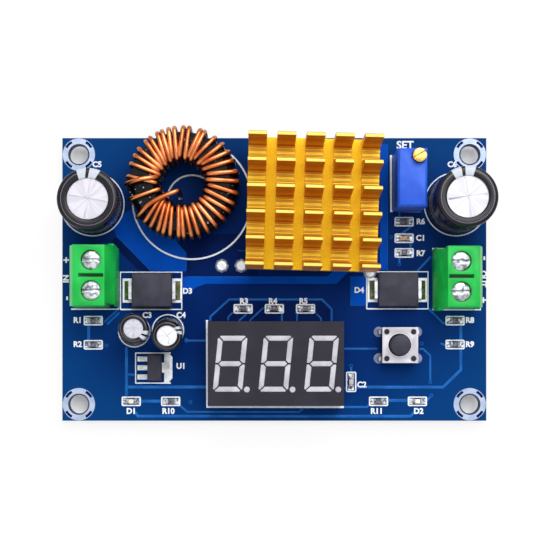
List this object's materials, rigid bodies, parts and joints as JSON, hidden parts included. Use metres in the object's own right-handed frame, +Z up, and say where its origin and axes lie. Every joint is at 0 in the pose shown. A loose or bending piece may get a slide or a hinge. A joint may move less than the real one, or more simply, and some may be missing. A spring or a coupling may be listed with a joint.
{
  "type": "boost converter module",
  "caption": "Bare circuit board with a ring choke, finned heatsink, screw terminals, capacitors, trimmer, push button and digit display, for raising a DC voltage.",
  "frame": {"origin": "centre of the rectangle of four mounting holes, on the board's underside", "axes": "+X from the input terminal to the output terminal, +Y towards the choke and heatsink, +Z up through the parts"},
  "size_m": [0.072, 0.0489, 0.0185],
  "materials": {
    "solder_mask": "blue solder mask over glass-fibre board",
    "solder": "bright tinned copper and solder",
    "core_coating": "black glossy coating over pressed iron powder",
    "enamelled_copper": "clear enamelled copper wire",
    "gold_anodised": "gold anodised",
    "thermal_rubber": "grey thermal rubber",
    "case_plastic": "black moulded epoxy",
    "tinned_lead": "tin-plated",
    "terminal_plastic": "green moulded",
    "zinc_plate": "zinc-plated steel",
    "sleeve_plastic": "black shrunk sleeve",
    "can_aluminium": "bare drawn aluminium",
    "seal_rubber": "black rubber",
    "trimmer_plastic": "blue moulded",
    "brass": "turned",
    "button_plastic": "black moulded",
    "stamped_steel": "stamped, tin-plated",
    "display_plastic": "dark grey face",
    "display_resin": "pale cast resin",
    "resistor_ceramic": "dark glazed top",
    "capacitor_ceramic": "brown ceramic",
    "lamp_resin": "pale clear resin"
  },
  "bodies": {
    "module": {"button_base": "button_plastic", "button_cover": "stamped_steel", "button_dome": "stamped_steel", "button_legs": "tinned_lead", "chip_capacitors": "capacitor_ceramic", "chip_ends": "tinned_lead", "chip_resistors": "resistor_ceramic", "circuit_board": "solder_mask", "display_housing": "display_plastic", "display_pins": "tinned_lead", "display_segments": "display_resin", "driver_case": "case_plastic", "driver_leads": "tinned_lead", "heatsink": "gold_anodised", "indicator_lamps": "lamp_resin", "inductor_core": "core_coating", "inductor_winding": "enamelled_copper", "input_capacitor_can": "can_aluminium", "input_capacitor_leads": "tinned_lead", "input_capacitor_seal": "seal_rubber", "input_capacitor_sleeve": "sleeve_plastic", "input_diode_case": "case_plastic", "input_diode_leads": "tinned_lead", "input_terminal_contacts": "tinned_lead", "input_terminal_housing": "terminal_plastic", "left_small_capacitor_can": "can_aluminium", "left_small_capacitor_leads": "tinned_lead", "left_small_capacitor_seal": "seal_rubber", "left_small_capacitor_sleeve": "sleeve_plastic", "output_capacitor_can": "can_aluminium", "output_capacitor_leads": "tinned_lead", "output_capacitor_seal": "seal_rubber", "output_capacitor_sleeve": "sleeve_plastic", "output_diode_case": "case_plastic", "output_diode_leads": "tinned_lead", "output_terminal_contacts": "tinned_lead", "output_terminal_housing": "terminal_plastic", "regulator_case": "case_plastic", "regulator_leads": "tinned_lead", "right_small_capacitor_can": "can_aluminium", "right_small_capacitor_leads": "tinned_lead", "right_small_capacitor_seal": "seal_rubber", "right_small_capacitor_sleeve": "sleeve_plastic", "small_regulator_case": "case_plastic", "small_regulator_leads": "tinned_lead", "solder_joints": "solder", "surface_pads": "solder", "thermal_pad": "thermal_rubber", "trimmer_housing": "trimmer_plastic", "trimmer_pins": "tinned_lead"},
    "button": {"button_plunger": "button_plastic"},
    "trimmer_adjuster": {"trimmer_screw": "brass"},
    "input_screw_1": {"input_terminal_screw_1": "zinc_plate"},
    "input_cage_1": {"input_terminal_cage_1": "zinc_plate"},
    "input_screw_2": {"input_terminal_screw_2": "zinc_plate"},
    "input_cage_2": {"input_terminal_cage_2": "zinc_plate"},
    "output_screw_1": {"output_terminal_screw_1": "zinc_plate"},
    "output_cage_1": {"output_terminal_cage_1": "zinc_plate"},
    "output_screw_2": {"output_terminal_screw_2": "zinc_plate"},
    "output_cage_2": {"output_terminal_cage_2": "zinc_plate"}
  },
  "joints": [
    {"name": "button_press", "type": "slide", "parent": "module", "child": "button", "axis": [0, 0, -1], "range_m": [0, 0.00025], "stiffness_N_per_m": 4000, "deforming": ["button_dome"]},
    {"name": "trimmer_turn", "type": "hinge", "parent": "module", "child": "trimmer_adjuster", "pos_m": [0.0236, 0.0197, 0.0116], "axis": [0, 0, 1], "continuous": true},
    {"name": "input_screw_1_turn", "type": "hinge", "parent": "module", "child": "input_screw_1", "pos_m": [-0.03011, 0.0027, 0.01], "axis": [0, 0, -1], "range_deg": [0, 1800]},
    {"name": "input_cage_1_lift", "type": "slide", "parent": "module", "child": "input_cage_1", "axis": [0, 0, 1], "range_m": [0, 0.0025]},
    {"name": "input_screw_2_turn", "type": "hinge", "parent": "module", "child": "input_screw_2", "pos_m": [-0.03011, -0.0023, 0.01], "axis": [0, 0, -1], "range_deg": [0, 1800]},
    {"name": "input_cage_2_lift", "type": "slide", "parent": "module", "child": "input_cage_2", "axis": [0, 0, 1], "range_m": [0, 0.0025]},
    {"name": "output_screw_1_turn", "type": "hinge", "parent": "module", "child": "output_screw_1", "pos_m": [0.03051, -0.0025, 0.01], "axis": [0, 0, -1], "range_deg": [0, 1800]},
    {"name": "output_cage_1_lift", "type": "slide", "parent": "module", "child": "output_cage_1", "axis": [0, 0, 1], "range_m": [0, 0.0025]},
    {"name": "output_screw_2_turn", "type": "hinge", "parent": "module", "child": "output_screw_2", "pos_m": [0.03051, 0.0025, 0.01], "axis": [0, 0, -1], "range_deg": [0, 1800]},
    {"name": "output_cage_2_lift", "type": "slide", "parent": "module", "child": "output_cage_2", "axis": [0, 0, 1], "range_m": [0, 0.0025]}
  ],
  "couplings": [
    {"joint": "input_screw_1_turn", "follows": "input_cage_1_lift", "rad_per_m": 12566},
    {"joint": "input_screw_2_turn", "follows": "input_cage_2_lift", "rad_per_m": 12566},
    {"joint": "output_screw_1_turn", "follows": "output_cage_1_lift", "rad_per_m": 12566},
    {"joint": "output_screw_2_turn", "follows": "output_cage_2_lift", "rad_per_m": 12566}
  ]
}
